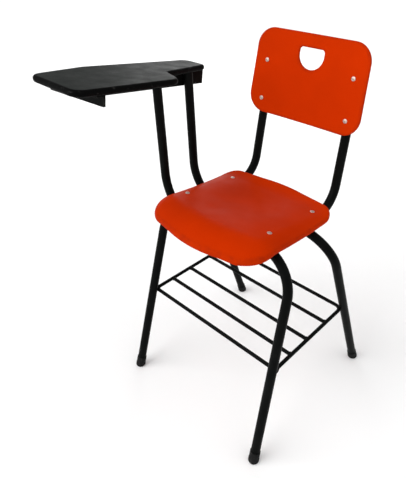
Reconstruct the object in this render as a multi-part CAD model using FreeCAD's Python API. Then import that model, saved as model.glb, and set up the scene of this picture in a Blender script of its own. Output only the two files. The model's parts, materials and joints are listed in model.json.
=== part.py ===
import FreeCAD, Part
import math
import os

# School chair with a fixed writing tablet on the sitter's right.
# Millimetres. +Z is up, -Y is the front, +X is the sitter's left, and the origin is on the
# floor midway between the four feet.

Vector = FreeCAD.Vector
Z_AXIS = Vector(0, 0, 1)

# ---- stock ----
TUBE_R = 19.05 / 2
TUBE_WALL = 1.2
BORE_R = TUBE_R - TUBE_WALL
ROD_R = 7.94 / 2
SEAT_T = 7.0
BACK_T = 6.0
TABLET_T = 12.0
TABLET_ROUND = 5.0        # radius along the tablet's edges
FLAT_T = 4.8              # steel angle under the tablet
TOUCH = 0.05              # gap left where two curved faces meet
FAR = 400.0               # larger than whatever it cuts through

# ---- leg frames: each is one tube bent into an upside-down U ----
LEG_BEND_R = 80.0
FRONT_FOOT = (180.5, -192.2)
FRONT_TOP = (168.8, -90.3, 432.2)
REAR_FOOT = (184.6, 192.2)
REAR_TOP = (173.4, 27.0, 419.1)
LEG_END = 7.0             # length of the foot cap's floor under the tube

# ---- side tubes: seat rail and back upright in one bent tube ----
RAIL_X = 108.5
RAIL_TILT = 5.96          # degrees, the rail falls towards the rear
RAIL_HEIGHT = 449.84      # rail axis above the front frame's crossbar
RAIL_FRONT = -24.0        # along the rail from the front crossbar
SIDE_BEND_Y = 124.6
SIDE_BEND_R = 59.0
UPRIGHT_TOP_X = 106.0
UPRIGHT_TOP_Z = 735.0
UPRIGHT_TILT = 8.79       # degrees, the upright leans back

# ---- seat shell, in its own frame: X across, Y along the rails ----
SEAT_HALF = 143.5
SEAT_FRONT = -100.0       # middle of the front edge
SEAT_REAR = 190.0         # middle of the rear edge
FRONT_BOW = 20.0          # how far the edge's ends fall short of its middle
REAR_BOW = 18.0
FRONT_BOW_R = 330.0
REAR_BOW_R = 300.0
SEAT_FRONT_R = 55.0
SEAT_REAR_R = 38.0
SIDE_ROLL_START = 109.5
SIDE_ROLL = 13.0          # how far the side edges roll down
SIDE_FADE = 0.5           # share of that roll lost towards the rear
SIDE_FADE_FROM = 0.0
SIDE_FADE_SPAN = 130.0
DISH = 8.0
DISH_HALF = 98.0
DISH_CENTRE = 80.0
DISH_REACH = 85.0
FRONT_ROLL = 31.5         # how far the front edge rolls down
FRONT_ROLL_SPAN = 60.0
REAR_LIFT = 10.0          # how far the rear edge curls up, over the bends of the side tubes
REAR_LIFT_EASE = 0.25     # share of that lift missing at the corners
REAR_LIFT_SPAN = 38.0
SEAT_MARGIN = 5.0         # how far the blank runs past the outline
SEAT_RIVETS = (-1.6, 139.2)

# ---- back shell, in its own frame: X across, Y up the back from the upper rivets ----
BACK_HALF_LOW = 140.5     # at the bottom edge
BACK_HALF_HIGH = 134.5    # at the top edge
BACK_BOTTOM = -114.5
BACK_TOP = 69.5
BACK_CORNER_R = 40.0
BACK_CURVE_R = 1500.0
BACK_MARGIN = 10.0        # how far the blank runs past the outline
BACK_ROW_Z = 701.93
BACK_LOWER_ROW = -83.9
LOWER_ROW_SPREAD = 0.8    # the uprights are that much further apart there, each side
HAND_HALF = 30.0
HAND_TOP = 41.0
HAND_STRAIGHT = 13.8
HAND_CORNER_R = 7.0

# ---- writing tablet, in its own frame: X across, Y along the tablet ----
TABLET_TILT = 6.0         # degrees, the front edge is the higher one
TABLET_ORIGIN = Vector(0, -10.0, 703.0)
TABLET_OUTLINE = (        # x, y, corner radius
    (-251.0, 54.0, 20.0),
    (-186.0, 53.5, 14.0),
    (-158.5, -78.5, 5.0),
    (-99.0, -99.5, 26.0),
    (-95.0, -319.0, 22.0),
    (-236.5, -317.5, 24.0),
    (-262.0, -202.0, 60.0),
)

# ---- tablet posts and the steel angles under the tablet ----
POST_X = -186.5
POST_BEND_R = 116.0
POST_BEND_Z = 485.0       # height where the inward bend starts
POST_TURN = 52.0          # degrees turned by the lower end
# y at the tablet, y at the leg frame, and degrees that the lower end splays to the rear
FRONT_POST = (-95.0, -77.2, 0.0)
REAR_POST = (-10.0, 7.65, 10.5)
POST_HIGH_Z = 694.0
POST_LOW_Z = 398.0
POST_TAIL = 13.0          # straight length past the bend
POST_SPARE = 30.0         # cut off again at the tablet's underside
LONG_BAR_DROP = 30.0
LONG_BAR_FLANGE = 20.0
LONG_BAR_FRONT = -264.85
LONG_BAR_REAR = 55.0
LONG_BAR_T = 3.2
LONG_BAR_CUT = (9.0, 60.0)    # the front end's lower corner is cut off, height and length
CROSS_BAR_DROP = 21.5
CROSS_BAR_FLANGE = 18.0
CROSS_BAR_INNER = -105.0
CROSS_BAR_OUTER = -247.0
CROSS_BAR_Y = -257.0      # at its inner end, along the tablet
CROSS_BAR_SKEW = 5.0      # degrees, the outer end is further forward
LONG_BAR_SCREWS = ((-211.0, 20.0), (-211.0, -180.0))
CROSS_BAR_SCREWS = ((-130.0, -270.5), (-225.0, -279.0))

# ---- book rack ----
RACK_Z = 204.9
RACK_SIDE_X = 175.0
RACK_REAR_Y = 107.5
RACK_CORNER_R = 15.0
RACK_FRONT_Y = -130.85
RACK_FRONT_DROP = 3.9     # the front rod sits this much lower than the others
CROSS_ROD_Y = (-82.1, -25.5, 42.7)

# ---- small parts ----
CAP_R = 11.2
CAP_TOP_R = 10.7
CAP_LENGTH = 25.0
CAP_SKIRT = 9.0
CAP_STEP = 2.0            # length of the cone above the skirt
CAP_ROUND = 4.0
RIVET_HEAD_R = 5.0
RIVET_HEAD_H = 1.5
RIVET_R = 2.4
RIVET_BULB_R = 3.6
RIVET_BULB_H = 3.0
RIVET_BULB_GAP = 1.1      # the bulb sits this far under the tube's wall at its middle
HOLE_CLEARANCE = 0.1
PLUG_HEAD_H = 3.0
PLUG_ROUND = 2.4
PLUG_STEM_H = 10.0
PLUG_STEM_R = BORE_R - 0.1
SCREW_R = 2.0
SCREW_HEAD_R = 4.0
SCREW_HEAD_H = 2.4
SCREW_DEPTH = 10.0
PILOT_SPARE = 0.5         # the pilot hole is that much deeper than the screw


# ------------------------------------------------------------------ general helpers

def turned(shape, origin, degrees):
    """shape carried from its own frame to origin, turned about the X axis."""
    placed = shape.copy()
    carry = FreeCAD.Placement(origin, FreeCAD.Rotation(Vector(1, 0, 0), degrees))
    placed.Placement = carry.multiply(shape.Placement)
    return placed


def bent_wire(points, radii):
    """A wire through points, with an arc of the given radius at each inner one."""
    edges = []
    start = points[0]
    for before, corner, after, radius in zip(points, points[1:], points[2:], radii):
        back = (before - corner).normalize()
        ahead = (after - corner).normalize()
        half = back.getAngle(ahead) / 2
        reach = radius / math.tan(half)
        middle = (back + ahead).normalize()
        centre = corner + middle * (radius / math.sin(half))
        arc_start = corner + back * reach
        arc_end = corner + ahead * reach
        edges.append(Part.makeLine(start, arc_start))
        edges.append(Part.Arc(arc_start, centre - middle * radius, arc_end).toShape())
        start = arc_end
    edges.append(Part.makeLine(start, points[-1]))
    return Part.Wire(edges)


def swept(points, radii, radius):
    """A round bar along a bent path."""
    path = bent_wire(points, radii)
    direction = points[1] - points[0]
    profile = Part.Wire([Part.makeCircle(radius, points[0], direction)])
    return path.makePipeShell([profile], True, False)


def tube(points, radii):
    return swept(points, radii, TUBE_R).cut(swept(points, radii, BORE_R))


def rounded_outline(corners):
    """A closed flat wire through (x, y, corner radius), with an arc at every corner."""
    count = len(corners)
    points = [Vector(x, y, 0) for x, y, _ in corners]
    edges = []
    ends = []
    for i in range(count):
        corner = points[i]
        back = (points[i - 1] - corner).normalize()
        ahead = (points[(i + 1) % count] - corner).normalize()
        half = back.getAngle(ahead) / 2
        radius = corners[i][2]
        reach = radius / math.tan(half)
        middle = (back + ahead).normalize()
        near = corner + middle * (radius / math.sin(half) - radius)
        ends.append((corner + back * reach, near, corner + ahead * reach))
    for i in range(count):
        arc_start, near, arc_end = ends[i]
        edges.append(Part.Arc(arc_start, near, arc_end).toShape())
        edges.append(Part.makeLine(arc_end, ends[(i + 1) % count][0]))
    return Part.Wire(edges)


def prism(corners, low, high):
    """The rounded outline as a block between two heights."""
    face = Part.Face(rounded_outline(corners))
    face.translate(Vector(0, 0, low))
    return face.extrude(Vector(0, 0, high - low))


def rounded_rectangle(half, low, high, low_r, high_r):
    return [(-half, low, low_r), (half, low, low_r), (half, high, high_r), (-half, high, high_r)]


# ------------------------------------------------------------------ frames the pieces share

RAIL_ORIGIN = Vector(0, FRONT_TOP[1], RAIL_HEIGHT)
BACK_TURN = 90.0 - UPRIGHT_TILT


def rail_point(x, along, above=0.0):
    """A point given in the seat's frame, in the chair's."""
    tilt = math.radians(RAIL_TILT)
    y = RAIL_ORIGIN.y + along * math.cos(tilt) + above * math.sin(tilt)
    z = RAIL_ORIGIN.z - along * math.sin(tilt) + above * math.cos(tilt)
    return Vector(x, y, z)


def side_bend_point():
    """Where the rail's line meets the upright's line."""
    along = (SIDE_BEND_Y - RAIL_ORIGIN.y) / math.cos(math.radians(RAIL_TILT))
    return rail_point(RAIL_X, along)


def back_origin():
    """On the shell's rear face between the upper rivets."""
    tilt = math.radians(UPRIGHT_TILT)
    bend = side_bend_point()
    y = bend.y + (BACK_ROW_Z - bend.z) * math.tan(tilt)
    offset = TUBE_R + TOUCH
    return Vector(0, y - offset * math.cos(tilt), BACK_ROW_Z + offset * math.sin(tilt))


def on_back(shape):
    return turned(shape, back_origin(), BACK_TURN)


def on_seat(shape):
    return turned(shape, RAIL_ORIGIN, -RAIL_TILT)


def on_tablet(shape):
    return turned(shape, TABLET_ORIGIN, -TABLET_TILT)


# ------------------------------------------------------------------ leg frames and feet

def leg_line(foot, top, side):
    """Where a leg's axis meets the floor, and its direction."""
    base = Vector(side * foot[0], foot[1], 0)
    return base, (Vector(side * top[0], top[1], top[2]) - base).normalize()


def leg_frame(foot, top):
    """One tube: foot, bend, crossbar, bend, foot."""
    base, up = leg_line(foot, top, 1)
    corner = Vector(top[0], top[1], top[2])
    end = base + up * LEG_END
    points = [Vector(-end.x, end.y, end.z), Vector(-corner.x, corner.y, corner.z), corner, end]
    return tube(points, [LEG_BEND_R, LEG_BEND_R])


def foot_cap(foot, top, side):
    """A slip-on cap, cut flat where it stands on the floor."""
    base, up = leg_line(foot, top, side)
    below = CAP_R * math.tan(Z_AXIS.getAngle(up)) + 1.0
    shell = [
        Vector(0, 0, -below), Vector(CAP_R, 0, -below), Vector(CAP_R, 0, CAP_SKIRT),
        Vector(CAP_TOP_R, 0, CAP_SKIRT + CAP_STEP), Vector(CAP_TOP_R, 0, CAP_LENGTH),
        Vector(0, 0, CAP_LENGTH), Vector(0, 0, -below),
    ]
    body = Part.Face(Part.makePolygon(shell)).revolve(Vector(0, 0, 0), Z_AXIS, 360)
    body.Placement = FreeCAD.Placement(base, FreeCAD.Rotation(Z_AXIS, up))
    half = 2 * CAP_R
    body = body.cut(Part.makeBox(2 * half, 2 * half, half, base - Vector(half, half, half)))
    sole = [e for e in body.Edges if abs(e.BoundBox.ZMax) < 1e-6]
    body = body.makeFillet(CAP_ROUND, sole)
    socket = Part.makeCylinder(TUBE_R + HOLE_CLEARANCE, CAP_LENGTH, base + up * LEG_END, up)
    return body.cut(socket)


# ------------------------------------------------------------------ side tubes

def upright_top(x):
    tilt = math.radians(UPRIGHT_TILT)
    bend = side_bend_point()
    return Vector(x, bend.y + (UPRIGHT_TOP_Z - bend.z) * math.tan(tilt), UPRIGHT_TOP_Z)


def side_tube_points(side):
    bend = side_bend_point()
    points = [rail_point(RAIL_X, RAIL_FRONT), bend, upright_top(UPRIGHT_TOP_X)]
    return [Vector(side * p.x, p.y, p.z) for p in points]


def side_tube(side):
    body = tube(side_tube_points(side), [SIDE_BEND_R])
    for hole in seat_rivet_holes() + back_rivet_holes():
        if hole.BoundBox.Center.x * side > 0:
            body = body.cut(hole)
    return body


# ------------------------------------------------------------------ seat and its rivets

def past(depth, span):
    """0 where depth is negative, 1 at depth = span, rising as a square."""
    return max(0.0, depth / span) ** 2


def seat_height(x, y):
    """Height of the seat's upper face over the rail's axis."""
    bow = (x / SEAT_HALF) ** 2
    front_edge = SEAT_FRONT + FRONT_BOW * bow
    rear_edge = SEAT_REAR - REAR_BOW * bow
    side = SIDE_ROLL * past(abs(x) - SIDE_ROLL_START, SEAT_HALF - SIDE_ROLL_START)
    side *= 1 - SIDE_FADE * past(y - SIDE_FADE_FROM, SIDE_FADE_SPAN)
    front = FRONT_ROLL * past(front_edge + FRONT_ROLL_SPAN - y, FRONT_ROLL_SPAN)
    rear = REAR_LIFT * past(y - rear_edge + REAR_LIFT_SPAN, REAR_LIFT_SPAN)
    rear *= 1 - REAR_LIFT_EASE * bow
    across = max(0.0, 1 - (x / DISH_HALF) ** 2) ** 2
    along = math.exp(-((y - DISH_CENTRE) / DISH_REACH) ** 2)
    return TUBE_R + TOUCH + SEAT_T - side - front + rear - DISH * across * along


def seat_normal(x, y):
    step = 0.5
    slope_x = (seat_height(x + step, y) - seat_height(x - step, y)) / (2 * step)
    slope_y = (seat_height(x, y + step) - seat_height(x, y - step)) / (2 * step)
    return Vector(-slope_x, -slope_y, 1).normalize()


def seat_sheet(depth):
    """The seat's surface as one smooth face, sunk by depth along its own normal."""
    columns = 25
    rows = 29
    half = SEAT_HALF + SEAT_MARGIN
    front = SEAT_FRONT - SEAT_MARGIN
    rear = SEAT_REAR + SEAT_MARGIN
    grid = []
    for i in range(columns):
        x = -half + 2 * half * i / (columns - 1)
        line = []
        for j in range(rows):
            y = front + (rear - front) * j / (rows - 1)
            line.append(Vector(x, y, seat_height(x, y)) - seat_normal(x, y) * depth)
        grid.append(line)
    surface = Part.BSplineSurface()
    surface.interpolate(grid)
    return surface.toShape()


def seat_blank():
    """The shell's two faces closed by ruled sides, before it is cut to its outline."""
    upper = seat_sheet(0.0)
    lower = seat_sheet(SEAT_T)
    faces = [upper, lower]
    for top_edge, low_edge in zip(upper.Edges, lower.Edges):
        faces.append(Part.makeRuledSurface(top_edge, low_edge))
    blank = Part.makeSolid(Part.makeShell(faces))
    if blank.Volume < 0:
        blank.reverse()
    return blank


def bow_tip(bow, radius):
    """How far past an edge's corners its two halves would meet, for a bow of that radius."""
    slope = bow / SEAT_HALF
    for _ in range(20):
        slope = (bow + radius * (math.hypot(1, slope) - 1)) / SEAT_HALF
    return slope * SEAT_HALF


def seat_outline():
    """Six corners: the blunt ones in the middle make the front and rear edges bow."""
    front = SEAT_FRONT + FRONT_BOW
    rear = SEAT_REAR - REAR_BOW
    return [
        (-SEAT_HALF, front, SEAT_FRONT_R),
        (0, front - bow_tip(FRONT_BOW, FRONT_BOW_R), FRONT_BOW_R),
        (SEAT_HALF, front, SEAT_FRONT_R),
        (SEAT_HALF, rear, SEAT_REAR_R),
        (0, rear + bow_tip(REAR_BOW, REAR_BOW_R), REAR_BOW_R),
        (-SEAT_HALF, rear, SEAT_REAR_R),
    ]


def seat_shell():
    body = on_seat(seat_blank().common(prism(seat_outline(), -FAR, FAR)))
    for hole in seat_rivet_holes():
        body = body.cut(hole)
    return body


def rivet(sheet_t):
    """Domed head on z = 0, shank below it, and the set end that grips inside the tube."""
    dome_r = (RIVET_HEAD_R ** 2 + RIVET_HEAD_H ** 2) / (2 * RIVET_HEAD_H)
    ball = Part.makeSphere(dome_r, Vector(0, 0, RIVET_HEAD_H - dome_r))
    head = ball.common(Part.makeCylinder(RIVET_HEAD_R, RIVET_HEAD_H))
    end = Vector(0, 0, -sheet_t - TUBE_WALL - RIVET_BULB_GAP - RIVET_BULB_H)
    shank = Part.makeCylinder(RIVET_R, -end.z, end)
    bulb = Part.makeCylinder(RIVET_BULB_R, RIVET_BULB_H, end)
    return head.fuse(shank).fuse(bulb).removeSplitter()


def rivet_hole(sheet_t):
    """The drilled hole, with a flat spot under the rivet's head."""
    reach = sheet_t + TUBE_R / 2
    drilled = Part.makeCylinder(RIVET_R + HOLE_CLEARANCE, reach, Vector(0, 0, -reach))
    return drilled.fuse(Part.makeCylinder(RIVET_HEAD_R + HOLE_CLEARANCE, TUBE_R))


def at_seat_rivets(shape):
    spots = []
    for side in (-1, 1):
        for along in SEAT_RIVETS:
            placed = shape.copy()
            placed.translate(Vector(side * RAIL_X, along, TUBE_R + TOUCH + SEAT_T))
            spots.append(on_seat(placed))
    return spots


def at_back_rivets(shape):
    spots = []
    for side in (-1, 1):
        for up in (0.0, BACK_LOWER_ROW):
            across = UPRIGHT_TOP_X + (0.0 if up == 0.0 else LOWER_ROW_SPREAD)
            placed = shape.copy()
            placed.translate(Vector(side * across, up, BACK_T))
            spots.append(on_back(placed))
    return spots


def seat_rivet_holes():
    return at_seat_rivets(rivet_hole(SEAT_T))


def back_rivet_holes():
    return at_back_rivets(rivet_hole(BACK_T))


# ------------------------------------------------------------------ back

def curved_sheet():
    """Part of a wide tube wall, hollow side to the sitter, touching the uprights."""
    centre = math.sqrt(BACK_CURVE_R ** 2 - UPRIGHT_TOP_X ** 2)
    height = BACK_TOP - BACK_BOTTOM + 2 * BACK_MARGIN
    base = Vector(0, BACK_BOTTOM - BACK_MARGIN, centre)
    outer = Part.makeCylinder(BACK_CURVE_R, height, base, Vector(0, 1, 0))
    inner = Part.makeCylinder(BACK_CURVE_R - BACK_T, height, base, Vector(0, 1, 0))
    return outer.cut(inner)


def hand_hole():
    """A D lying on its back: flat top, short straight sides, round below."""
    middle = HAND_TOP - HAND_STRAIGHT
    low = middle - HAND_STRAIGHT
    block = prism(rounded_rectangle(HAND_HALF, low, HAND_TOP, HAND_CORNER_R, HAND_CORNER_R), -FAR, FAR)
    drum = Part.makeCylinder(HAND_HALF, 2 * FAR, Vector(0, middle, -FAR))
    upper = Part.makeBox(2 * HAND_HALF, HAND_HALF, 2 * FAR, Vector(-HAND_HALF, middle, -FAR))
    return drum.cut(upper).fuse(block.common(upper))


def backrest_shell():
    low = [(x, BACK_BOTTOM, BACK_CORNER_R) for x in (-BACK_HALF_LOW, BACK_HALF_LOW)]
    high = [(x, BACK_TOP, BACK_CORNER_R) for x in (BACK_HALF_HIGH, -BACK_HALF_HIGH)]
    corners = low + high
    body = curved_sheet().common(prism(corners, -FAR, FAR)).cut(hand_hole())
    body = on_back(body)
    for hole in back_rivet_holes():
        body = body.cut(hole)
    return body


# ------------------------------------------------------------------ tablet, posts and angles

def writing_tablet():
    board = prism(TABLET_OUTLINE, -TABLET_T, 0)
    rims = [e for e in board.Edges if e.BoundBox.ZLength < TABLET_T / 2]
    body = on_tablet(board.makeFillet(TABLET_ROUND, rims))
    for pilot in at_tablet_screws(screw_hole(), LONG_BAR_SCREWS + CROSS_BAR_SCREWS):
        body = body.cut(pilot)
    return body


def over_tablet_underside():
    return on_tablet(Part.makeBox(2 * FAR, 2 * FAR, FAR, Vector(-FAR, -FAR, -TABLET_T)))


def post_path(post, top_z):
    """Top, bend corner and lower end of a post that comes up beside the seat."""
    y_high, y_low, splay = post
    lean = (y_high - y_low) / (POST_HIGH_Z - POST_LOW_Z)
    turn = math.radians(POST_TURN)
    reach = POST_BEND_R * math.tan(turn / 2)
    tail = reach + POST_TAIL
    corner_z = POST_BEND_Z - reach
    end_z = corner_z - tail * math.cos(turn)
    inward = tail * math.sin(turn)
    spots = ((0.0, top_z), (0.0, corner_z), (inward, end_z))
    rearward = math.tan(math.radians(splay))
    path = []
    for shift, z in spots:
        y = y_low + lean * (z - POST_LOW_Z) + shift * rearward
        path.append(Vector(POST_X + shift, y, z))
    return path


def tablet_post(post):
    """The top is cut to lie flat under the tablet; the lower end turns in behind the leg frame."""
    body = tube(post_path(post, POST_HIGH_Z + POST_SPARE), [POST_BEND_R])
    return body.cut(over_tablet_underside())


def angle_bar(length, drop, flange, thick):
    """Steel angle along Y from y = 0: one leg hangs down at x = 0, the other runs to -X."""
    section = Part.makePolygon([
        Vector(0, 0, 0), Vector(-flange, 0, 0), Vector(-flange, 0, -thick),
        Vector(-thick, 0, -thick), Vector(-thick, 0, -drop), Vector(0, 0, -drop), Vector(0, 0, 0),
    ])
    return Part.Face(section).extrude(Vector(0, length, 0))


def tablet_long_bar():
    """The angle that the posts are welded to, under the length of the tablet."""
    length = LONG_BAR_REAR - LONG_BAR_FRONT
    body = angle_bar(length, LONG_BAR_DROP, LONG_BAR_FLANGE, LONG_BAR_T)
    rise, run = LONG_BAR_CUT
    under = -LONG_BAR_DROP - rise
    corner = [
        Vector(LONG_BAR_T, 0, under), Vector(LONG_BAR_T, run, under),
        Vector(LONG_BAR_T, run, -LONG_BAR_DROP), Vector(LONG_BAR_T, 0, -LONG_BAR_DROP + rise),
    ]
    wedge = Part.Face(Part.makePolygon(corner + corner[:1]))
    body = body.cut(wedge.extrude(Vector(-3 * LONG_BAR_T, 0, 0)))
    body.translate(Vector(POST_X - TUBE_R - TOUCH, LONG_BAR_FRONT, -TABLET_T))
    body = on_tablet(body)
    for hole in at_tablet_screws(screw_hole(), LONG_BAR_SCREWS):
        body = body.cut(hole)
    return body


def tablet_cross_bar():
    """The angle across the front of the tablet, butted to the long one."""
    length = CROSS_BAR_INNER - CROSS_BAR_OUTER
    body = angle_bar(length, CROSS_BAR_DROP, CROSS_BAR_FLANGE, FLAT_T)
    body.rotate(Vector(0, 0, 0), Z_AXIS, CROSS_BAR_SKEW + 90)
    body.translate(Vector(CROSS_BAR_INNER, CROSS_BAR_Y, -TABLET_T))
    body = on_tablet(body)
    for hole in at_tablet_screws(screw_hole(), CROSS_BAR_SCREWS):
        body = body.cut(hole)
    return body


def at_tablet_screws(shape, spots):
    placed = []
    for x, y in spots:
        moved = shape.copy()
        moved.translate(Vector(x, y, -TABLET_T))
        placed.append(on_tablet(moved))
    return placed


def tablet_screws():
    long_ones = at_tablet_screws(screw(LONG_BAR_T), LONG_BAR_SCREWS)
    cross_ones = at_tablet_screws(screw(FLAT_T), CROSS_BAR_SCREWS)
    return Part.Compound(long_ones + cross_ones)


def screw_hole():
    below = 2 * FLAT_T
    depth = below + SCREW_DEPTH + PILOT_SPARE
    return Part.makeCylinder(SCREW_R + HOLE_CLEARANCE, depth, Vector(0, 0, -below))


def screw(flange_t):
    """Pan-head screw; z = 0 is the tablet's underside, and the head sits under the flange."""
    shank = Part.makeCylinder(SCREW_R, SCREW_DEPTH + flange_t, Vector(0, 0, -flange_t))
    head = Part.makeCylinder(SCREW_HEAD_R, SCREW_HEAD_H, Vector(0, 0, -flange_t - SCREW_HEAD_H))
    rim = [e for e in head.Edges if e.BoundBox.ZMax < -flange_t - SCREW_HEAD_H / 2]
    return head.makeFillet(SCREW_HEAD_H / 2, rim).fuse(shank)


# ------------------------------------------------------------------ book rack

def round_bar(start, end, radius):
    return Part.makeCylinder(radius, (end - start).Length, start, end - start)


def rack_border_rod():
    """Both sides and the rear of the rack, bent from one rod and coped to the rear legs."""
    front = RACK_FRONT_Y + ROD_R + TOUCH
    points = [
        Vector(-RACK_SIDE_X, front, RACK_Z), Vector(-RACK_SIDE_X, RACK_REAR_Y, RACK_Z),
        Vector(RACK_SIDE_X, RACK_REAR_Y, RACK_Z), Vector(RACK_SIDE_X, front, RACK_Z),
    ]
    body = swept(points, [RACK_CORNER_R, RACK_CORNER_R], ROD_R)
    for side in (-1, 1):
        base, up = leg_line(REAR_FOOT, REAR_TOP, side)
        body = body.cut(Part.makeCylinder(TUBE_R + TOUCH, 2 * RACK_Z, base, up))
    return body


def rack_front_rod():
    half = RACK_SIDE_X + ROD_R
    height = RACK_Z - RACK_FRONT_DROP
    start = Vector(-half, RACK_FRONT_Y, height)
    return round_bar(start, Vector(half, RACK_FRONT_Y, height), ROD_R)


def rack_cross_rod(y):
    half = RACK_SIDE_X - ROD_R - TOUCH
    return round_bar(Vector(-half, y, RACK_Z), Vector(half, y, RACK_Z), ROD_R)


# ------------------------------------------------------------------ plugs

def end_plug(end, outwards):
    """A domed plug pushed into an open tube end."""
    head = Part.makeCylinder(TUBE_R, PLUG_HEAD_H)
    rim = [e for e in head.Edges if abs(e.BoundBox.ZMin - PLUG_HEAD_H) < 1e-6]
    head = head.makeFillet(PLUG_ROUND, rim)
    stem = Part.makeCylinder(PLUG_STEM_R, PLUG_STEM_H, Vector(0, 0, -PLUG_STEM_H))
    body = head.fuse(stem)
    body.Placement = FreeCAD.Placement(end, FreeCAD.Rotation(Z_AXIS, outwards))
    return body


def side_tube_plugs(side):
    front, bend, top = side_tube_points(side)
    return end_plug(front, front - bend), end_plug(top, top - bend)


# ------------------------------------------------------------------ the chair

def all_nodes():
    nodes = {
        "front_leg_frame": leg_frame(FRONT_FOOT, FRONT_TOP),
        "rear_leg_frame": leg_frame(REAR_FOOT, REAR_TOP),
        "seat_shell": seat_shell(),
        "backrest_shell": backrest_shell(),
        "seat_rivets": Part.Compound(at_seat_rivets(rivet(SEAT_T))),
        "backrest_rivets": Part.Compound(at_back_rivets(rivet(BACK_T))),
        "writing_tablet": writing_tablet(),
        "tablet_long_bar": tablet_long_bar(),
        "tablet_cross_bar": tablet_cross_bar(),
        "tablet_screws": tablet_screws(),
        "rack_border_rod": rack_border_rod(),
        "rack_front_rod": rack_front_rod(),
    }
    for name, side in (("right", -1), ("left", 1)):
        nodes[name + "_side_tube"] = side_tube(side)
        rail_plug, upright_plug = side_tube_plugs(side)
        nodes[name + "_rail_plug"] = rail_plug
        nodes[name + "_upright_plug"] = upright_plug
        nodes["front_" + name + "_foot_cap"] = foot_cap(FRONT_FOOT, FRONT_TOP, side)
        nodes["rear_" + name + "_foot_cap"] = foot_cap(REAR_FOOT, REAR_TOP, side)
    for name, post in (("front", FRONT_POST), ("rear", REAR_POST)):
        corner, end = post_path(post, POST_HIGH_Z)[1:]
        nodes[name + "_tablet_post"] = tablet_post(post)
        nodes[name + "_post_plug"] = end_plug(end, end - corner)
    for number, y in enumerate(CROSS_ROD_Y, 1):
        nodes["rack_cross_rod_" + str(number)] = rack_cross_rod(y)
    return nodes


os.makedirs("parts", exist_ok=True)
for node, shape in all_nodes().items():
    shape.exportStep("parts/" + node + ".step")
    print(node, shape.isValid(), len(shape.Solids), round(shape.Volume, 1))
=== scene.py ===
import json
import math

import bmesh
import bpy
from mathutils import Matrix, Vector
from mathutils.bvhtree import BVHTree


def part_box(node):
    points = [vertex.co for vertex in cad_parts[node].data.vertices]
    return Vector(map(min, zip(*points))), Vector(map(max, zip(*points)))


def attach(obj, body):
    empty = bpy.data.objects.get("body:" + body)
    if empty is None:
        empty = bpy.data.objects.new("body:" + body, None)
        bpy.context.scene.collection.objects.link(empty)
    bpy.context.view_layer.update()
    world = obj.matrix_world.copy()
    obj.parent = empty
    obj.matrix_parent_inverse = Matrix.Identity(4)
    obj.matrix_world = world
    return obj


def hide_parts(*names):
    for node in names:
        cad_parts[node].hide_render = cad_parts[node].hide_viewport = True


# School chair with a fixed writing tablet. Metres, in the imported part's own frame: +Z is up,
# -Y is the front and +X is the sitter's left. The tubes, rods, angles, caps and plugs are the
# CAD nodes themselves. The two shells, the tablet, the rivets and the screws are replaced by
# finer meshes, and weld beads are added.

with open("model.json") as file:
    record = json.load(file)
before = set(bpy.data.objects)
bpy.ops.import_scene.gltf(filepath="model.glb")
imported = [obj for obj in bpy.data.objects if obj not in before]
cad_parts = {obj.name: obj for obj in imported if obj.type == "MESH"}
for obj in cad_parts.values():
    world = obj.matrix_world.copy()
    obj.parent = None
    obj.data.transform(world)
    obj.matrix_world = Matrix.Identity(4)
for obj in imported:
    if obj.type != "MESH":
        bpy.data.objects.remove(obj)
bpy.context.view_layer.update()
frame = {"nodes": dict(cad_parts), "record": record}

# ---- stock ----
TUBE_R = 0.009525
ROD_R = 0.00397
SEAT_T = 0.007
BACK_T = 0.006
TABLET_T = 0.012
TOUCH = 0.00005

# ---- frames of the seat, the back and the tablet, as the CAD has them ----
SEAT_ORIGIN = (0.0, -0.0903, 0.44984)
SEAT_TILT = -5.96
BACK_ORIGIN = (0.0, 0.157588, 0.703389)
BACK_TILT = 81.21
TABLET_ORIGIN = (0.0, -0.010, 0.703)
TABLET_TILT = -6.0

# ---- seat ----
SEAT_HALF = 0.1435
SEAT_FRONT = -0.100
SEAT_REAR = 0.190
FRONT_BOW = 0.020
REAR_BOW = 0.018
FRONT_BOW_R = 0.330
REAR_BOW_R = 0.300
SEAT_FRONT_R = 0.055
SEAT_REAR_R = 0.038
SIDE_ROLL_START = 0.1095
SIDE_ROLL = 0.013
SIDE_FADE = 0.5
SIDE_FADE_FROM = 0.0
SIDE_FADE_SPAN = 0.130
FRONT_ROLL = 0.0315
FRONT_ROLL_SPAN = 0.060
REAR_LIFT = 0.010
REAR_LIFT_EASE = 0.25
REAR_LIFT_SPAN = 0.038
DISH = 0.008
DISH_HALF = 0.098
DISH_CENTRE = 0.080
DISH_REACH = 0.085
SEAT_MIDDLE = Vector((0.0, 0.048))
SEAT_RIM_R = 0.0028
SEAT_SPACING = 0.004      # between the points along the outline
SEAT_RINGS = 34           # between the outline and the middle

# ---- back ----
BACK_HALF_LOW = 0.1405
BACK_HALF_HIGH = 0.1345
BACK_BOTTOM = -0.1145
BACK_TOP = 0.0695
BACK_CORNER_R = 0.040
BACK_CURVE_R = 1.5
HAND_HALF = 0.030
HAND_TOP = 0.041
HAND_STRAIGHT = 0.0138
HAND_CORNER_R = 0.007
HAND_MIDDLE = Vector((0.0, 0.024))
HAND_SPACING = 0.0008
BACK_RIM_R = 0.0026
BACK_SPACING = 0.003
BACK_RINGS = 30           # between the outline and the hand hole

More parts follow.
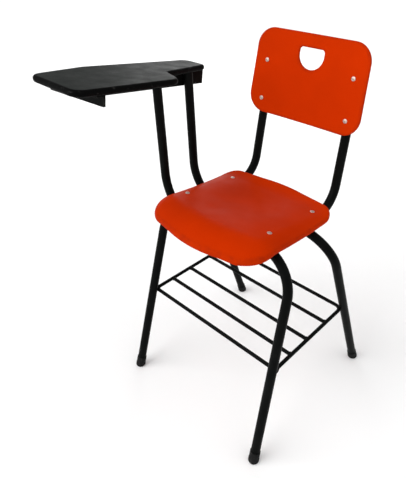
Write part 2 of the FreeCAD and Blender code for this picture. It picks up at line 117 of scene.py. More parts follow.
# ---- writing tablet: x, y and corner radius, anticlockwise ----
TABLET_OUTLINE = (
    (-0.251, 0.054, 0.020),
    (-0.262, -0.202, 0.060),
    (-0.2365, -0.3175, 0.024),
    (-0.095, -0.319, 0.022),
    (-0.099, -0.0995, 0.026),
    (-0.1585, -0.0785, 0.005),
    (-0.186, 0.0535, 0.014),
)
TABLET_RIM_R = 0.0052
TABLET_RIM_STEPS = 7
TABLET_RIM_FADE = 0.0006  # width over which the rim's painted shade ends on the flat faces
TABLET_SPACING = 0.004

# ---- rivets and screws ----
SEAT_RIVETS = tuple((side * 0.1085, y) for side in (-1, 1) for y in (-0.0016, 0.1392))
BACK_RIVETS = tuple((side * x, y) for side in (-1, 1) for x, y in ((0.106, 0.0), (0.1068, -0.0839)))
TABLET_SCREWS = (         # x, y and the thickness of the angle that each goes through
    (-0.211, 0.020, 0.0032),
    (-0.211, -0.180, 0.0032),
    (-0.130, -0.2705, 0.0048),
    (-0.225, -0.279, 0.0048),
)
RIVET_R = 0.0048
RIVET_H = 0.0015
RIVET_LIP = 0.0003        # height of the head's straight edge
RIVET_MOUTH = 0.0017      # radius of the hole in the head
RIVET_SHANK = (0.0023, 0.006)     # radius and depth
SCREW_R = 0.004
SCREW_H = 0.0024
SCREW_LIP = 0.0010
SCREW_CROWN = 0.0014
SCREW_SHANK = (0.002, 0.009)

# ---- welds: places near the contacts, for the sitter's left side and mirrored for the right ----
RAIL_WELDS = (("front", (0.106, -0.0893, 0.4415)), ("rear", (0.106, 0.028, 0.4285)))
RACK_FRONT_WELD = (0.175, -0.1345, 0.2013)
RACK_REAR_WELD = (0.1705, 0.104)
RACK_FRONT_DROP = 0.0015  # how far the front rod's welds sit below the side rods' axis
POST_WELD_X = -0.150
POST_WELD_Z = 0.405
POST_WELD_INSET = 0.02    # from the post's front side
BAR_WELD_X = -0.196
BAR_WELD_Z = (0.678, 0.696)
BAR_WELDS = (("front", -0.0940), ("rear", -0.0095))
BAR_WELD_SPREAD = 0.0055  # each side of a post's middle
# reach from the contact, radius of the bead and number of points round it
RAIL_BEAD = (0.0066, 0.0019, 36)
POST_BEAD = (0.0064, 0.0020, 36)
CROSS_ROD_BEAD = (0.0036, 0.0017, 28)
FRONT_ROD_BEAD = (0.0034, 0.0017, 28)
REAR_LEG_BEAD = (0.0045, 0.0018, 28)
FRONT_LEG_BEAD = (0.0044, 0.0018, 28)
BAR_BEAD_R = 0.0016
BAR_BEAD_STEP = 0.0005
SETTLE_STEPS = 40         # from a place near a contact to the contact itself
GROOVE_STEPS = 4

# ---- camera ----
CAMERA_AT = (0.56175, -0.70610, 0.96298)
CAMERA_AZIMUTH = 41.898
CAMERA_ELEVATION = 27.124
CAMERA_ROLL = 1.231
LENS = 37.436             # millimetres, for a sensor that is 36 mm high
SENSOR = 36.0
SHIFT = (-0.056485, -0.123431)

# ---- studio ----
FLOOR_R = 16.0
WORLD_LIGHT = 0.62


# ------------------------------------------------------------------ outlines

def cross_2d(a, b):
    return a.x * b.y - a.y * b.x


def rounded_outline(corners, spacing):
    """Points round an anticlockwise outline of (x, y, radius), each with its outward normal."""
    points = [Vector(corner[:2]) for corner in corners]
    count = len(points)
    arcs = []
    for i in range(count):
        back = (points[i - 1] - points[i]).normalized()
        ahead = (points[(i + 1) % count] - points[i]).normalized()
        half = back.angle(ahead) / 2
        radius = corners[i][2]
        reach = radius / math.tan(half)
        centre = points[i] + (back + ahead).normalized() * (radius / math.sin(half))
        hollow = -1 if cross_2d(back, ahead) > 0 else 1
        arcs.append((centre, points[i] + back * reach, points[i] + ahead * reach, hollow))
    loop = []
    for i in range(count):
        centre, start, end, hollow = arcs[i]
        first = start - centre
        turn = first.angle(end - centre) * hollow
        steps = max(3, round(abs(turn) * first.length / spacing))
        for k in range(steps):
            arm = first.copy()
            arm.rotate(Matrix.Rotation(turn * k / steps, 2))
            loop.append((centre + arm, arm.normalized() * hollow))
        run = arcs[(i + 1) % count][1] - end
        normal = Vector((run.y, -run.x)).normalized()
        steps = max(1, round(run.length / spacing))
        loop += [(end + run * (k / steps), normal) for k in range(steps)]
    return loop


def bow_tip(bow, radius):
    """How far past an edge's corners its two halves would meet, for a bow of that radius."""
    slope = bow / SEAT_HALF
    for _ in range(20):
        slope = (bow + radius * (math.hypot(1, slope) - 1)) / SEAT_HALF
    return slope * SEAT_HALF


def along_ray(loop, centre, angle):
    """Where the ray from centre at that angle meets the loop: the point and its normal."""
    ray = Vector((math.cos(angle), math.sin(angle)))
    for (here, normal), (there, next_normal) in zip(loop, loop[1:] + loop[:1]):
        a = cross_2d(ray, here - centre)
        b = cross_2d(ray, there - centre)
        if a <= 0 < b and ray.dot(here - centre) > 0:
            share = a / (a - b)
            return here.lerp(there, share), normal.lerp(next_normal, share).normalized()
    raise ValueError("the ray misses the loop")


def rim_profile(thickness, radius, steps=5):
    """(inset, depth) from the upper face round the rim to the lower face."""
    quarter = [math.pi / 2 * k / steps for k in range(steps + 1)]
    upper = [(radius * (1 - math.sin(a)), radius * (1 - math.cos(a))) for a in quarter]
    return upper + [(inset, thickness - depth) for inset, depth in reversed(upper)]


# ------------------------------------------------------------------ meshes

def finish_mesh(name, bm, material, smooth_angle=None):
    """The bmesh as an object that rides on the frame."""
    bmesh.ops.recalc_face_normals(bm, faces=bm.faces)
    for face in bm.faces:
        face.smooth = True
    mesh = bpy.data.meshes.new(name)
    bm.to_mesh(mesh)
    bm.free()
    mesh.materials.append(material)
    if smooth_angle is not None:
        mesh.set_sharp_from_angle(angle=math.radians(smooth_angle))
    piece = bpy.data.objects.new(name, mesh)
    bpy.context.scene.collection.objects.link(piece)
    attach(piece, "root")
    return piece


def bridge(bm, ring, following):
    count = len(ring)
    for i in range(count):
        j = (i + 1) % count
        bm.faces.new((ring[i], ring[j], following[j], following[i]))


def cap(bm, ring, middle):
    for i in range(len(ring)):
        bm.faces.new((ring[i], ring[(i + 1) % len(ring)], middle))


def eased_shares(count):
    """From 0 at the rim to 1 at the middle, closer together at the rim."""
    return [(k / count) ** 1.35 for k in range(1, count + 1)]


def plate(name, outer, middle, place, thickness, rim_r, rings, slot, hole=None):
    """A moulded sheet with a rounded rim, laid on the surface that place(x, y, depth) gives.

    The vertex attribute "rim" is 1 on the rim and fades to 0 a few millimetres inside it."""
    bm = bmesh.new()
    rim_layer = bm.verts.layers.float.new("rim")
    fade = 0.004

    def ring(points, depth, rim):
        made = []
        for point in points:
            vert = bm.verts.new(place(point.x, point.y, depth))
            vert[rim_layer] = rim
            made.append(vert)
        return made

    def rims(loop, inward):
        return [ring([p - n * inset * inward for p, n in loop], depth, 1.0)
                for inset, depth in rim_profile(thickness, rim_r)]

    inner_edge = [p - n * rim_r for p, n in outer]
    if hole:
        hole_edge = [p + n * rim_r for p, n in hole]
        hole_rims = rims(hole, -1)
        shares = [0.5 - 0.5 * math.cos(math.pi * k / rings) for k in range(1, rings + 1)]
    else:
        hole_edge = [middle] * len(outer)
        shares = eased_shares(rings)
    outer_rims = rims(outer, 1)
    for face_rim, face_hole, depth in ((0, 0, 0.0), (-1, -1, thickness)):
        last = outer_rims[face_rim]
        for share in shares[:-1]:
            points = [p.lerp(q, share) for p, q in zip(inner_edge, hole_edge)]
            gaps = [min((p - a).length, (p - b).length if hole else 1.0)
                    for p, a, b in zip(points, inner_edge, hole_edge)]
            following = ring(points, depth, 0.0)
            for vert, gap in zip(following, gaps):
                vert[rim_layer] = max(0.0, 1 - gap / fade)
            bridge(bm, last, following)
            last = following
        if hole:
            bridge(bm, last, hole_rims[face_hole])
        else:
            cap(bm, last, bm.verts.new(place(middle.x, middle.y, depth)))
    for rim in (outer_rims, hole_rims) if hole else (outer_rims,):
        for here, following in zip(rim, rim[1:]):
            bridge(bm, here, following)
    return finish_mesh(name, bm, MATERIALS[slot])


def turned_solids(name, profile, spots, slot, sides=40):
    """A closed solid of revolution at each spot. The profile is (radius, height) pairs."""
    bm = bmesh.new()
    for spot in spots:
        last = None
        for radius, height in profile:
            if radius == 0.0:
                tip = bm.verts.new(spot @ Vector((0, 0, height)))
                if last:
                    cap(bm, last, tip)
                last = tip
                continue
            ring = []
            for k in range(sides):
                angle = 2 * math.pi * k / sides
                corner = Vector((radius * math.cos(angle), radius * math.sin(angle), height))
                ring.append(bm.verts.new(spot @ corner))
            if isinstance(last, bmesh.types.BMVert):
                cap(bm, ring, last)
            else:
                bridge(bm, last, ring)
            last = ring
    return finish_mesh(name, bm, MATERIALS[slot], smooth_angle=38)


def bead(bm, path, radius, closed=False, sides=10):
    """A weld bead along a path, with the ripples that the torch leaves."""
    ripple = 0.0016
    unevenness = 0.0071
    count = len(path)
    rings = []
    run = 0.0
    for i, point in enumerate(path):
        before = path[i - 1] if i or closed else point
        after = path[(i + 1) % count] if i < count - 1 or closed else point
        tangent = (after - before).normalized()
        across = tangent.orthogonal().normalized()
        if rings:
            across = (last_across - tangent * last_across.dot(tangent)).normalized()
        last_across = across
        up = tangent.cross(across)
        swell = 1 + 0.13 * math.sin(2 * math.pi * run / ripple)
        swell += 0.10 * math.sin(2 * math.pi * run / unevenness)
        if not closed:
            end = min(i, count - 1 - i) / 3
            swell *= min(1.0, 0.35 + 0.65 * end)
        ring = []
        for k in range(sides):
            angle = 2 * math.pi * k / sides
            arm = across * math.cos(angle) + up * math.sin(angle)
            ring.append(bm.verts.new(point + arm * radius * swell))
        rings.append(ring)
        run += (after - before).length / 2
    for here, following in zip(rings, rings[1:]):
        bridge(bm, here, following)
    if closed:
        bridge(bm, rings[-1], rings[0])
    else:
        cap(bm, rings[0], bm.verts.new(path[0]))
        cap(bm, rings[-1], bm.verts.new(path[-1]))


# ------------------------------------------------------------------ node materials

def link(tree, source, target):
    tree.links.new(source, target)


def node(tree, kind, **settings):
    made = tree.nodes.new(kind)
    for key, value in settings.items():
        setattr(made, key, value)
    return made


def fill(made, **values):
    for key, value in values.items():
        made.inputs[key.replace("_", " ")].default_value = value
    return made


def noise(tree, size, detail=3.0, roughness=0.55, stretch=(1, 1, 1)):
    """Noise whose features are about size metres across, in the chair's own frame."""
    where = node(tree, "ShaderNodeTexCoord")
    scaled = node(tree, "ShaderNodeMapping")
    scaled.inputs["Scale"].default_value = stretch
    link(tree, where.outputs["Object"], scaled.inputs["Vector"])
    made = fill(node(tree, "ShaderNodeTexNoise"), Scale=1 / size, Detail=detail, Roughness=roughness)
    link(tree, scaled.outputs["Vector"], made.inputs["Vector"])
    return made.outputs["Fac"]


def remap(tree, value, low, high, to_low, to_high):
    made = node(tree, "ShaderNodeMapRange", clamp=True)
    fill(made, From_Min=low, From_Max=high, To_Min=to_low, To_Max=to_high)
    link(tree, value, made.inputs["Value"])
    return made.outputs["Result"]


def blend_colour(tree, factor, first, second):
    """first where factor is 0, second where it is 1; each is a colour or another node's output."""
    made = node(tree, "ShaderNodeMix", data_type="RGBA")
    link(tree, factor, made.inputs["Factor"])
    for name, value in (("A", first), ("B", second)):
        socket = [s for s in made.inputs if s.name == name and s.type == "RGBA"][0]
        if isinstance(value, tuple):
            socket.default_value = (*value, 1.0)
        else:
            link(tree, value, socket)
    return [s for s in made.outputs if s.type == "RGBA"][0]


def arithmetic(tree, operation, first, second):
    made = node(tree, "ShaderNodeMath", operation=operation, use_clamp=True)
    for socket, value in zip(made.inputs, (first, second)):
        if isinstance(value, (int, float)):
            socket.default_value = value
        else:
            link(tree, value, socket)
    return made.outputs["Value"]


def bump(tree, height, depth, below=None):
    made = fill(node(tree, "ShaderNodeBump"), Strength=1.0, Distance=depth)
    link(tree, height, made.inputs["Height"])
    if below:
        link(tree, below, made.inputs["Normal"])
    return made.outputs["Normal"]


def surface(name, colour, roughness, normal, **constants):
    """Takes functions that build each part of the material in its tree."""
    material = bpy.data.materials.new(name)
    material.use_nodes = True
    tree = material.node_tree
    shader = tree.nodes["Principled BSDF"]
    link(tree, colour(tree), shader.inputs["Base Color"])
    link(tree, roughness(tree), shader.inputs["Roughness"])
    link(tree, normal(tree), shader.inputs["Normal"])
    for key, value in constants.items():
        shader.inputs[key.replace("_", " ")].default_value = value
    return material


def rim_mask(tree):
    """The rim attribute, broken up into uneven patches: painted shade in the shell's colour, and a
    rougher rim in its roughness.
    """
    rim = node(tree, "ShaderNodeAttribute", attribute_name="rim").outputs["Fac"]
    patches = remap(tree, noise(tree, 0.018, 4.0), 0.42, 0.66, 0.25, 1.0)
    return arithmetic(tree, "MULTIPLY", rim, patches)


def edge_mask(tree, radius):
    """1 along sharp edges, from how far a rounded normal leans from the true one."""
    rounded = node(tree, "ShaderNodeBevel", samples=4)
    rounded.inputs["Radius"].default_value = radius
    true = node(tree, "ShaderNodeNewGeometry")
    dot = node(tree, "ShaderNodeVectorMath", operation="DOT_PRODUCT")
    link(tree, rounded.outputs["Normal"], dot.inputs[0])
    link(tree, true.outputs["Normal"], dot.inputs[1])
    return remap(tree, dot.outputs["Value"], 0.97, 0.80, 0.0, 1.0)


def shell_plastic():
    """Moulded orange-red polypropylene: satin, with a fine spark-eroded grain and painted shade
    darkening the rim.
    """
    def colour(tree):
        broad = remap(tree, noise(tree, 0.11, 2.0), 0.35, 0.68, 0.0, 1.0)
        base = blend_colour(tree, broad, (0.450, 0.0225, 0.0003), (0.500, 0.0255, 0.0003))
        flecks = remap(tree, noise(tree, 0.0022, 2.0), 0.60, 0.78, 0.0, 0.35)
        base = blend_colour(tree, flecks, base, (0.37, 0.014, 0.0005))
        # Painted shade: the rim is darkened towards brown, in uneven patches.
        wear_and_shade = arithmetic(tree, "MULTIPLY", rim_mask(tree), 0.55)
        return blend_colour(tree, wear_and_shade, base, (0.27, 0.016, 0.003))

    def roughness(tree):
        broad = remap(tree, noise(tree, 0.035, 4.0), 0.3, 0.7, 0.36, 0.50)
        return arithmetic(tree, "ADD", broad, arithmetic(tree, "MULTIPLY", rim_mask(tree), 0.08))

    def normal(tree):
        waves = bump(tree, noise(tree, 0.060, 1.0), 0.00045)
        grain = bump(tree, noise(tree, 0.0007, 2.0, 0.6), 0.00004, waves)
        scratch = remap(tree, noise(tree, 0.0035, 3.0, 0.5, (1.0, 0.06, 1.0)), 0.66, 0.72, 1.0, 0.0)
        return bump(tree, scratch, 0.000012, grain)

    return surface("shell_plastic", colour, roughness, normal, IOR=1.32, Specular_IOR_Level=0.03,
                   Specular_Tint=(1.0, 0.42, 0.14, 1.0))


def tablet_top():
    """Black-grey laminate-like plastic with a fine pebble: painted shade makes the rim near-black,
    with paler rubbed patches on it.
    """
    def colour(tree):
        broad = remap(tree, noise(tree, 0.09, 3.0), 0.35, 0.68, 0.0, 1.0)
        base = blend_colour(tree, broad, (0.0105, 0.0125, 0.0115), (0.0155, 0.018, 0.0165))
        flecks = remap(tree, noise(tree, 0.0016, 2.0), 0.58, 0.75, 0.0, 0.5)
        base = blend_colour(tree, flecks, base, (0.030, 0.033, 0.031))
        rim = node(tree, "ShaderNodeAttribute", attribute_name="rim").outputs["Fac"]
        # Painted shade: the rounded rim is painted near-black, darker than the top.
        base = blend_colour(tree, rim, base, (0.0020, 0.0020, 0.0020))
        wear_and_shade = remap(tree, noise(tree, 0.010, 5.0, 0.65), 0.60, 0.72, 0.0, 0.5)
        wear_and_shade = arithmetic(tree, "MULTIPLY", rim, wear_and_shade)
        return blend_colour(tree, wear_and_shade, base, (0.050, 0.050, 0.048))

    def roughness(tree):
        return remap(tree, noise(tree, 0.030, 5.0, 0.6), 0.3, 0.7, 0.44, 0.58)

    def normal(tree):
        pebble = bump(tree, noise(tree, 0.0011, 2.0, 0.5), 0.00006)
        scratch = remap(tree, noise(tree, 0.004, 3.0, 0.5, (0.05, 1.0, 1.0)), 0.67, 0.73, 1.0, 0.0)
        return bump(tree, scratch, 0.00002, pebble)

    return surface("tablet_top", colour, roughness, normal, IOR=1.40, Specular_IOR_Level=0.03)


def powder_coat(name, edges):
    """Satin black powder coat: orange peel, faint dust, and rubbed edges on the flat bars."""
    def colour(tree):
        dust = remap(tree, noise(tree, 0.045, 5.0, 0.6), 0.45, 0.75, 0.0, 0.5)
        base = blend_colour(tree, dust, (0.0025, 0.0028, 0.0027), (0.0075, 0.0082, 0.0079))
        nicks = remap(tree, noise(tree, 0.0045, 3.0, 0.7), 0.73, 0.78, 0.0, 0.7)
        base = blend_colour(tree, nicks, base, (0.055, 0.053, 0.050))
        if edges:
            wear_and_shade = arithmetic(tree, "MULTIPLY", edge_mask(tree, 0.0012),
                              remap(tree, noise(tree, 0.012, 4.0), 0.42, 0.62, 0.1, 0.8))
            base = blend_colour(tree, wear_and_shade, base, (0.075, 0.072, 0.068))
        return base

    def roughness(tree):
        return remap(tree, noise(tree, 0.020, 4.0, 0.6), 0.3, 0.7, 0.30, 0.46)

    def normal(tree):
        peel = bump(tree, noise(tree, 0.0016, 1.0, 0.4), 0.00005)
        return bump(tree, noise(tree, 0.012, 2.0, 0.5), 0.00008, peel)

    return surface(name, colour, roughness, normal, IOR=1.38, Specular_IOR_Level=0.05)


def black_moulding(name, dull):
    """Foot caps and end plugs: matt black, scuffed."""
    def colour(tree):
        scuffs = remap(tree, noise(tree, 0.006, 5.0, 0.7, (1, 1, 0.5)), 0.52, 0.74, 0.0, 0.6)
        return blend_colour(tree, scuffs, (0.008, 0.008, 0.008), (0.034, 0.033, 0.031))

    def roughness(tree):
        return remap(tree, noise(tree, 0.008, 4.0), 0.3, 0.7, dull - 0.08, dull + 0.08)

    def normal(tree):
        return bump(tree, noise(tree, 0.0009, 3.0, 0.6), 0.00007)

    return surface(name, colour, roughness, normal, IOR=1.42, Specular_IOR_Level=0.08)


def bright_metal(name, pale, dark, smooth):
    """Rivets and screws: bare metal with tool marks and patches of dirt."""
    def colour(tree):
        dirt = remap(tree, noise(tree, 0.0018, 4.0, 0.65), 0.48, 0.72, 0.0, 0.7)
        return blend_colour(tree, dirt, pale, dark)

    def roughness(tree):
        return remap(tree, noise(tree, 0.0012, 4.0), 0.3, 0.7, smooth, smooth + 0.22)

    def normal(tree):
        dents = bump(tree, noise(tree, 0.0014, 3.0, 0.6), 0.00006)
        return bump(tree, noise(tree, 0.0005, 1.0, 0.5, (1, 6, 1)), 0.000012, dents)

    return surface(name, colour, roughness, normal, Metallic=1.0)


def floor_paint():
    """Plain pale studio floor."""
    def colour(tree):
        return blend_colour(tree, remap(tree, noise(tree, 0.6, 2.0), 0.3, 0.7, 0.0, 1.0),
                            (0.965, 0.965, 0.965), (0.985, 0.985, 0.985))

    def roughness(tree):
        return remap(tree, noise(tree, 0.05, 3.0), 0.3, 0.7, 0.75, 0.85)

    def normal(tree):
        return bump(tree, noise(tree, 0.002, 2.0), 0.00003)

    return surface("floor_paint", colour, roughness, normal, Specular_IOR_Level=0.2)


MATERIALS = {
    "shell_plastic": shell_plastic(),
    "tablet_top": tablet_top(),
    "frame_paint": powder_coat("frame_paint", edges=False),
    "bracket_paint": powder_coat("bracket_paint", edges=True),
    "weld_paint": powder_coat("weld_paint", edges=False),
    "foot_rubber": black_moulding("foot_rubber", 0.62),
    "plug_plastic": black_moulding("plug_plastic", 0.45),
    "rivet_metal": bright_metal("rivet_metal", (0.55, 0.43, 0.39), (0.27, 0.19, 0.17), 0.36),
    "screw_steel": bright_metal("screw_steel", (0.62, 0.62, 0.60), (0.30, 0.29, 0.28), 0.28),
}


def dress_cad_nodes():
    for part in frame["record"]["subparts"]:
        shown = frame["nodes"][part["node"]]
        shown.data.materials.clear()
        shown.data.materials.append(MATERIALS[part["material_slot"]])


# ------------------------------------------------------------------ seat, back and tablet

def placed(origin, degrees):
    return Matrix.Translation(Vector(origin)) @ Matrix.Rotation(math.radians(degrees), 4, "X")


ON_SEAT = placed(SEAT_ORIGIN, SEAT_TILT)
ON_BACK = placed(BACK_ORIGIN, BACK_TILT)
ON_TABLET = placed(TABLET_ORIGIN, TABLET_TILT)


def past(depth, span):
    """0 where depth is negative, 1 at depth = span, rising as a square."""
    return max(0.0, depth / span) ** 2


def seat_height(x, y):
    """Height of the seat's upper face over the rail's axis."""
    bow = (x / SEAT_HALF) ** 2
    front_edge = SEAT_FRONT + FRONT_BOW * bow
    rear_edge = SEAT_REAR - REAR_BOW * bow
    side = SIDE_ROLL * past(abs(x) - SIDE_ROLL_START, SEAT_HALF - SIDE_ROLL_START)
    side *= 1 - SIDE_FADE * past(y - SIDE_FADE_FROM, SIDE_FADE_SPAN)
    front = FRONT_ROLL * past(front_edge + FRONT_ROLL_SPAN - y, FRONT_ROLL_SPAN)
    rear = REAR_LIFT * past(y - rear_edge + REAR_LIFT_SPAN, REAR_LIFT_SPAN)
    rear *= 1 - REAR_LIFT_EASE * bow
    across = max(0.0, 1 - (x / DISH_HALF) ** 2) ** 2
    along = math.exp(-((y - DISH_CENTRE) / DISH_REACH) ** 2)
    return TUBE_R + TOUCH + SEAT_T - side - front + rear - DISH * across * along


def on_seat_sheet(x, y, depth):
    step = 0.0005
    slope_x = (seat_height(x + step, y) - seat_height(x - step, y)) / (2 * step)
    slope_y = (seat_height(x, y + step) - seat_height(x, y - step)) / (2 * step)
    drop = depth * math.sqrt(1 + slope_x ** 2 + slope_y ** 2)
    return ON_SEAT @ Vector((x, y, seat_height(x, y) - drop))


def make_seat():
    front = SEAT_FRONT + FRONT_BOW
    rear = SEAT_REAR - REAR_BOW
    corners = (
        (-SEAT_HALF, front, SEAT_FRONT_R),
        (0, front - bow_tip(FRONT_BOW, FRONT_BOW_R), FRONT_BOW_R),
        (SEAT_HALF, front, SEAT_FRONT_R),
        (SEAT_HALF, rear, SEAT_REAR_R),
        (0, rear + bow_tip(REAR_BOW, REAR_BOW_R), REAR_BOW_R),
        (-SEAT_HALF, rear, SEAT_REAR_R),
    )
    outline = rounded_outline(corners, SEAT_SPACING)
    seat = plate("seat", outline, SEAT_MIDDLE, on_seat_sheet, SEAT_T, SEAT_RIM_R, SEAT_RINGS,
                 "shell_plastic")
    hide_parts("seat_shell")


def on_back_sheet(x, y, depth):
    """The front face is part of a wide tube wall with its hollow side to the sitter."""
    axis_z = math.sqrt(BACK_CURVE_R ** 2 - BACK_RIVETS[-2][0] ** 2)
    radius = BACK_CURVE_R - BACK_T + depth
    angle = x / (BACK_CURVE_R - BACK_T)
    return ON_BACK @ Vector((radius * math.sin(angle), y, axis_z - radius * math.cos(angle)))


def hand_hole_outline():
    """A D lying on its back: flat top, short straight sides, round below."""
    drum_z = HAND_TOP - HAND_STRAIGHT
    low = -math.tan(math.radians(22.5)) * HAND_HALF
    corners = (
        (HAND_HALF, HAND_TOP, HAND_CORNER_R),
        (-HAND_HALF, HAND_TOP, HAND_CORNER_R),
        (-HAND_HALF, drum_z + low, HAND_HALF),
        (low, drum_z - HAND_HALF, HAND_HALF),
        (-low, drum_z - HAND_HALF, HAND_HALF),
        (HAND_HALF, drum_z + low, HAND_HALF),
    )
    snug = 0.9999         # keeps neighbouring arcs from meeting in one point
    return rounded_outline([(x, y, r * snug) for x, y, r in corners], HAND_SPACING)


def make_back():
    low = [(x, BACK_BOTTOM, BACK_CORNER_R) for x in (-BACK_HALF_LOW, BACK_HALF_LOW)]
    high = [(x, BACK_TOP, BACK_CORNER_R) for x in (BACK_HALF_HIGH, -BACK_HALF_HIGH)]
    outline = rounded_outline(low + high, BACK_SPACING)
    dense = hand_hole_outline()
    hole = []
    for point, _ in outline:
        arm = point - HAND_MIDDLE
        hole.append(along_ray(dense, HAND_MIDDLE, math.atan2(arm.y, arm.x)))
    back = plate("back", outline, HAND_MIDDLE, on_back_sheet, BACK_T, BACK_RIM_R, BACK_RINGS,
                 "shell_plastic", hole)
    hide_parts("backrest_shell")


def make_tablet():
    """The faces are flat, so a single one fills each inside the rounded rim."""
    bm = bmesh.new()
    rim_layer = bm.verts.layers.float.new("rim")
    outline = rounded_outline(TABLET_OUTLINE, TABLET_SPACING)
    flat_inset = TABLET_RIM_R + TABLET_RIM_FADE

    def ring(inset, depth, rim):
        made = [bm.verts.new(ON_TABLET @ Vector((*(p - n * inset), -depth))) for p, n in outline]
        for vert in made:
            vert[rim_layer] = rim
        return made

    rings = [ring(flat_inset, 0.0, 0.0)]
    for inset, depth in rim_profile(TABLET_T, TABLET_RIM_R, TABLET_RIM_STEPS):
        rings.append(ring(inset, depth, 1.0))
    rings.append(ring(flat_inset, TABLET_T, 0.0))
    for here, following in zip(rings, rings[1:]):
        bridge(bm, here, following)
    bm.faces.new(rings[0])
    bm.faces.new(rings[-1])
    tablet = finish_mesh("tablet", bm, MATERIALS["tablet_top"])
    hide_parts("writing_tablet")


# ------------------------------------------------------------------ rivets and screws

def make_rivets():
    """Blind rivets: a domed flange with the hole that its pulled mandrel leaves."""
    shank_r, shank_depth = RIVET_SHANK
    profile = [(0.0, -shank_depth), (shank_r, -shank_depth), (shank_r, 0.0), (RIVET_R, 0.0)]
    profile.append((RIVET_R, RIVET_LIP))
    steps = 9
    for k in range(1, steps):
        lean = math.pi / 2 * k / steps
        height = RIVET_LIP + (RIVET_H - RIVET_LIP) * math.sin(lean)
        profile.append((RIVET_R * math.cos(lean) ** 0.8, height))
    profile = [step for step in profile if step[0] > RIVET_MOUTH or step[1] <= 0]
    profile += [(RIVET_MOUTH, RIVET_H), (RIVET_MOUTH - 0.0002, RIVET_H - 0.0003)]
    profile += [(0.0014, 0.0006), (0.0009, 0.0009), (0.0, 0.0010)]
    for name, spots, sheet in (("seat", SEAT_RIVETS, ON_SEAT), ("backrest", BACK_RIVETS, ON_BACK)):
        lift = TUBE_R + TOUCH + SEAT_T if name == "seat" else BACK_T
        places = [sheet @ Matrix.Translation(Vector((x, y, lift))) for x, y in spots]
        made = turned_solids(name + "_rivet_heads", profile, places, "rivet_metal")
        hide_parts(name + "_rivets")


def make_screws():
    """Pan heads under the angles, each with a driver recess."""
    places = []
    for x, y, flange in TABLET_SCREWS:
        under = Matrix.Translation(Vector((x, y, -TABLET_T - flange)))
        places.append(ON_TABLET @ under @ Matrix.Rotation(math.pi, 4, "X"))
    shank_r, shank_depth = SCREW_SHANK
    profile = [(0.0, -shank_depth), (shank_r, -shank_depth), (shank_r, 0.0), (SCREW_R, 0.0)]
    profile.append((SCREW_R, SCREW_LIP))
    steps = 6
    for k in range(1, steps):
        lean = math.pi / 2 * k / steps
        inset = SCREW_CROWN * (1 - math.cos(lean))
        profile.append((SCREW_R - inset, SCREW_LIP + SCREW_CROWN * math.sin(lean)))
    profile += [(0.0016, SCREW_H), (0.0011, SCREW_H - 0.0012), (0.0, SCREW_H - 0.0016)]
    made = turned_solids("tablet_screw_heads", profile, places, "screw_steel")
    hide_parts("tablet_screws")


# ------------------------------------------------------------------ welds

def tree_of(name):
    mesh = frame["nodes"][name].data
    return BVHTree.FromPolygons([v.co for v in mesh.vertices], [p.vertices for p in mesh.polygons])


def into_groove(point, tree_a, tree_b):
    """Slides a point to the middle of the groove between two surfaces."""
    for _ in range(GROOVE_STEPS):
        point = (tree_a.find_nearest(point)[0] + tree_b.find_nearest(point)[0]) / 2
    return point


def ring_weld(bm, tree_a, tree_b, seed, size):
    """A bead all round the spot near seed where two nodes touch."""
    reach, radius, count = size
    spot = Vector(seed)
    for _ in range(SETTLE_STEPS):
        touch, normal, _, _ = tree_a.find_nearest(spot)
        spot = tree_b.find_nearest(touch)[0]
    across = normal.orthogonal().normalized()
    up = normal.cross(across).normalized()
    path = []
    for k in range(count):
        angle = 2 * math.pi * k / count
        arm = (across * math.cos(angle) + up * math.sin(angle)) * reach
        path.append(into_groove(spot + arm, tree_a, tree_b))
    bead(bm, path, radius, closed=True)


def line_weld(bm, tree_a, tree_b, start, end, radius):
    """A straight bead in the groove between two nodes."""
    count = round((end - start).length / BAR_BEAD_STEP)
    path = [into_groove(start.lerp(end, k / count), tree_a, tree_b) for k in range(count + 1)]
    bead(bm, path, radius)


def weld_piece(name, bm):
    finish_mesh(name, bm, MATERIALS["weld_paint"])


def make_rail_welds(trees):
    bm = bmesh.new()
    for side, name in ((-1, "right"), (1, "left")):
        rail = trees(name + "_side_tube")
        for leg, (x, y, z) in RAIL_WELDS:
            ring_weld(bm, trees(leg + "_leg_frame"), rail, (side * x, y, z), RAIL_BEAD)
    weld_piece("rail_welds", bm)


def make_rack_welds(trees):
    bm = bmesh.new()
    border = trees("rack_border_rod")
    front = trees("rack_front_rod")
    low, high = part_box("rack_border_rod")
    rack_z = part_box("rack_cross_rod_1")[0].z + ROD_R
    for side in (-1, 1):
        for number in (1, 2, 3):
            name = "rack_cross_rod_" + str(number)
            seed = (side * (high.x - 2 * ROD_R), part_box(name)[0].y + ROD_R, rack_z)
            ring_weld(bm, border, trees(name), seed, CROSS_ROD_BEAD)
        seed = (side * (high.x - ROD_R), low.y, rack_z - RACK_FRONT_DROP)
        ring_weld(bm, front, border, seed, FRONT_ROD_BEAD)
        x, y = RACK_REAR_WELD
        ring_weld(bm, trees("rear_leg_frame"), border, (side * x, y, rack_z), REAR_LEG_BEAD)
        x, y, z = RACK_FRONT_WELD
        ring_weld(bm, trees("front_leg_frame"), front, (side * x, y, z), FRONT_LEG_BEAD)
    weld_piece("rack_welds", bm)


def make_post_welds(trees):
    bm = bmesh.new()
    bar = trees("tablet_long_bar")
    for leg, y in BAR_WELDS:
        post = trees(leg + "_tablet_post")
        seed = (POST_WELD_X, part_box(leg + "_tablet_post")[0].y + POST_WELD_INSET, POST_WELD_Z)
        ring_weld(bm, trees(leg + "_leg_frame"), post, seed, POST_BEAD)
        for spread in (-BAR_WELD_SPREAD, BAR_WELD_SPREAD):
            low, high = (Vector((BAR_WELD_X, y + spread, z)) for z in BAR_WELD_Z)
            line_weld(bm, bar, post, low, high, BAR_BEAD_R)
    weld_piece("post_welds", bm)


def make_welds():
    known = {}

    def trees(name):
        if name not in known:
            known[name] = tree_of(name)
        return known[name]

    make_rail_welds(trees)
    make_rack_welds(trees)
    make_post_welds(trees)


# ------------------------------------------------------------------ stage, light and camera

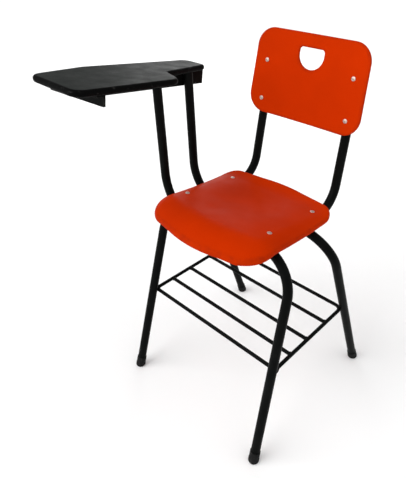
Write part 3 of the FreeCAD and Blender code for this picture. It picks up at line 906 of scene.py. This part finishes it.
def make_stage():
    bm = bmesh.new()
    bmesh.ops.create_circle(bm, cap_ends=True, radius=FLOOR_R, segments=96)
    mesh = bpy.data.meshes.new("floor")
    bm.to_mesh(mesh)
    bm.free()
    mesh.materials.append(floor_paint())
    floor = bpy.data.objects.new("floor", mesh)
    bpy.context.scene.collection.objects.link(floor)


def aim(lamp, at, towards):
    lamp.location = at
    lamp.rotation_euler = (Vector(towards) - Vector(at)).to_track_quat("-Z", "Y").to_euler()
    bpy.context.scene.collection.objects.link(lamp)


def soft_sun(name, at, spread, strength):
    """Light that falls evenly on the whole floor, from a wide patch of sky."""
    data = bpy.data.lights.new(name, "SUN")
    data.angle = math.radians(spread)
    data.energy = strength
    aim(bpy.data.objects.new(name, data), at, (0, 0, 0))


def soft_box(name, at, towards, size, power):
    data = bpy.data.lights.new(name, "AREA")
    data.shape = "DISK"
    data.size = size
    data.energy = power
    aim(bpy.data.objects.new(name, data), at, towards)


def make_lights():
    soft_sun("key", (-1.4, -3.0, 2.1), 60, 2.25)
    soft_sun("fill", (2.6, 0.4, 2.6), 70, 0.45)
    soft_box("rear_sheen", (-2.6, 2.4, 1.25), (-0.15, 0.0, 0.7), 1.2, 14)
    world = bpy.data.worlds.new("studio")
    world.use_nodes = True
    background = world.node_tree.nodes["Background"]
    background.inputs["Color"].default_value = (1.0, 1.0, 1.0, 1.0)
    background.inputs["Strength"].default_value = WORLD_LIGHT
    bpy.context.scene.world = world
    bpy.context.scene.view_settings.view_transform = "Standard"


def make_camera():
    a = math.radians(CAMERA_AZIMUTH)
    e = math.radians(CAMERA_ELEVATION)
    r = math.radians(CAMERA_ROLL)
    back = Vector((math.sin(a) * math.cos(e), -math.cos(a) * math.cos(e), math.sin(e)))
    right = (-back).cross(Vector((0, 0, 1))).normalized()
    up = right.cross(-back)
    across = right * math.cos(r) + up * math.sin(r)
    upright = up * math.cos(r) - right * math.sin(r)
    data = bpy.data.cameras.new("camera")
    data.sensor_width = SENSOR
    data.lens = LENS
    data.shift_x, data.shift_y = SHIFT
    camera = bpy.data.objects.new("camera", data)
    turn = Matrix((across, upright, back)).transposed().to_4x4()
    camera.matrix_world = Matrix.Translation(Vector(CAMERA_AT)) @ turn
    bpy.context.scene.collection.objects.link(camera)
    bpy.context.scene.camera = camera


dress_cad_nodes()
make_seat()
make_back()
make_tablet()
make_rivets()
make_screws()
make_welds()
make_stage()
make_lights()
make_camera()
